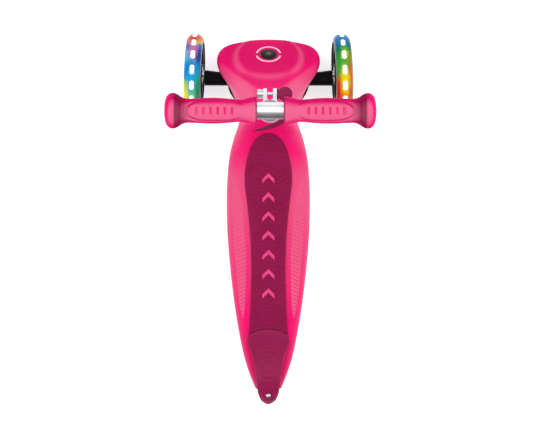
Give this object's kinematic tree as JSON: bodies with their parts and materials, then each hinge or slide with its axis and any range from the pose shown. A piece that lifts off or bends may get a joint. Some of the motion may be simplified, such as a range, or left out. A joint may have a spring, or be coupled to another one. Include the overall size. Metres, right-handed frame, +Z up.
{
  "type": "kick scooter",
  "caption": "Three-wheeled lean-to-steer kick scooter with a moulded deck, light-up front wheels, telescopic T-bar, grips and a rear foot brake.",
  "frame": {"origin": "on the ground, midway across the width and midway along the length, under the deck", "axes": "+Y forward towards the front wheels, +Z up towards the handlebar, +X to the rider's right"},
  "size_m": [0.28, 0.5519, 0.6757],
  "materials": {
    "pink_shell": "hot pink moulded plastic, satin sheen",
    "black_nylon": "glass-filled nylon, fine texture",
    "pad_rubber": "dark pink moulded rubber with fine ribs",
    "accent_pink": "pink moulded rubber",
    "zinc": "zinc plated steel",
    "anodised_tube": "brushed and clear anodised",
    "silver_alloy": "fine cast alloy, tumbled",
    "dark_pink": "dark pink moulded nylon, satin",
    "grip_pink": "hot pink soft grip, satin",
    "gloss_black": "gloss black dome",
    "spring_steel": "bright wire",
    "truck_black": "black glass-filled nylon, satin",
    "bush_white": "natural acetal",
    "elastomer": "firm rubber spring",
    "left_tyre": "clear cast urethane, tinted",
    "right_tyre": "clear cast urethane, tinted",
    "light_white": "clear light guide, glowing white",
    "hub_dark": "smoky dark plastic",
    "hub_cap": "silver painted plastic",
    "bearing_steel": "ground bearing steel",
    "rear_tyre": "cast urethane, satin"
  },
  "bodies": {
    "deck": {"deck_shell": "pink_shell", "deck_core": "black_nylon", "grip_pad": "pad_rubber", "pad_accents": "accent_pink", "core_screws": "zinc", "steering_head": "black_nylon", "head_screws": "zinc", "lower_column": "anodised_tube", "column_bolt": "zinc", "column_bush": "dark_pink", "clamp_collar": "silver_alloy", "clamp_bolt": "zinc", "clamp_nut": "zinc", "clamp_saddle": "black_nylon", "kingpin_bolt": "zinc", "kingpin_nut": "zinc", "kingpin_washers": "zinc", "lock_spring": "spring_steel", "rear_axle_bolt": "zinc", "rear_axle_nut": "zinc", "rear_axle_washers": "zinc", "brake_pin": "zinc", "brake_spring": "spring_steel"},
    "tbar": {"upper_column": "anodised_tube", "tube_guide": "black_nylon", "handlebar_tube": "anodised_tube", "bar_plugs": "black_nylon", "grip_left": "grip_pink", "grip_right": "grip_pink"},
    "lever": {"clamp_lever": "dark_pink", "lever_pin": "zinc"},
    "button": {"lock_button": "gloss_black"},
    "truck": {"truck_frame": "truck_black", "truck_bushes": "bush_white", "steering_elastomer": "elastomer", "front_axle_bolts": "zinc", "front_axle_washers": "zinc"},
    "wheel_left": {"left_tyre": "left_tyre", "left_light_ring": "light_white", "left_hub": "hub_dark", "left_bearings": "bearing_steel", "left_spacer": "zinc", "left_cap": "hub_cap"},
    "wheel_right": {"right_tyre": "right_tyre", "right_light_ring": "light_white", "right_hub": "hub_dark", "right_bearings": "bearing_steel", "right_spacer": "zinc", "right_cap": "hub_cap"},
    "wheel_rear": {"rear_tyre": "rear_tyre", "rear_hub": "black_nylon", "rear_bearings": "bearing_steel", "rear_spacer": "zinc"},
    "brake": {"brake_fender": "dark_pink", "brake_screw": "zinc"}
  },
  "joints": [
    {"name": "tbar_height", "type": "slide", "parent": "deck", "child": "tbar", "axis": [0, -0.1942, 0.981], "range_m": [0, 0.1]},
    {"name": "clamp_release", "type": "hinge", "parent": "deck", "child": "lever", "pos_m": [0.0204, 0.08613, 0.55324], "axis": [0, -0.1942, 0.981], "range_deg": [0, 150]},
    {"name": "lock_press", "type": "slide", "parent": "deck", "child": "button", "axis": [0, -0.6508, -0.7593], "range_m": [0, 0.004], "stiffness_N_per_m": 300, "deforming": ["lock_spring"]},
    {"name": "lean_steer", "type": "hinge", "parent": "deck", "child": "truck", "pos_m": [0, 0.17866, 0.06], "axis": [0, 0.6508, 0.7593], "range_deg": [-15, 15], "stiffness_Nm_per_rad": 60},
    {"name": "front_left_spin", "type": "hinge", "parent": "truck", "child": "wheel_left", "pos_m": [-0.1095, 0.216, 0.06], "axis": [0.9982, -0.0418, 0.0436], "continuous": true},
    {"name": "front_right_spin", "type": "hinge", "parent": "truck", "child": "wheel_right", "pos_m": [0.1095, 0.216, 0.06], "axis": [0.9982, 0.0418, -0.0436], "continuous": true},
    {"name": "rear_spin", "type": "hinge", "parent": "deck", "child": "wheel_rear", "pos_m": [0, -0.232, 0.04], "axis": [1, 0, 0], "continuous": true},
    {"name": "brake_press", "type": "hinge", "parent": "deck", "child": "brake", "pos_m": [0, -0.176, 0.059], "axis": [1, 0, 0], "range_deg": [0, 2], "stiffness_Nm_per_rad": 0.6, "springref_deg": -8.59}
  ]
}
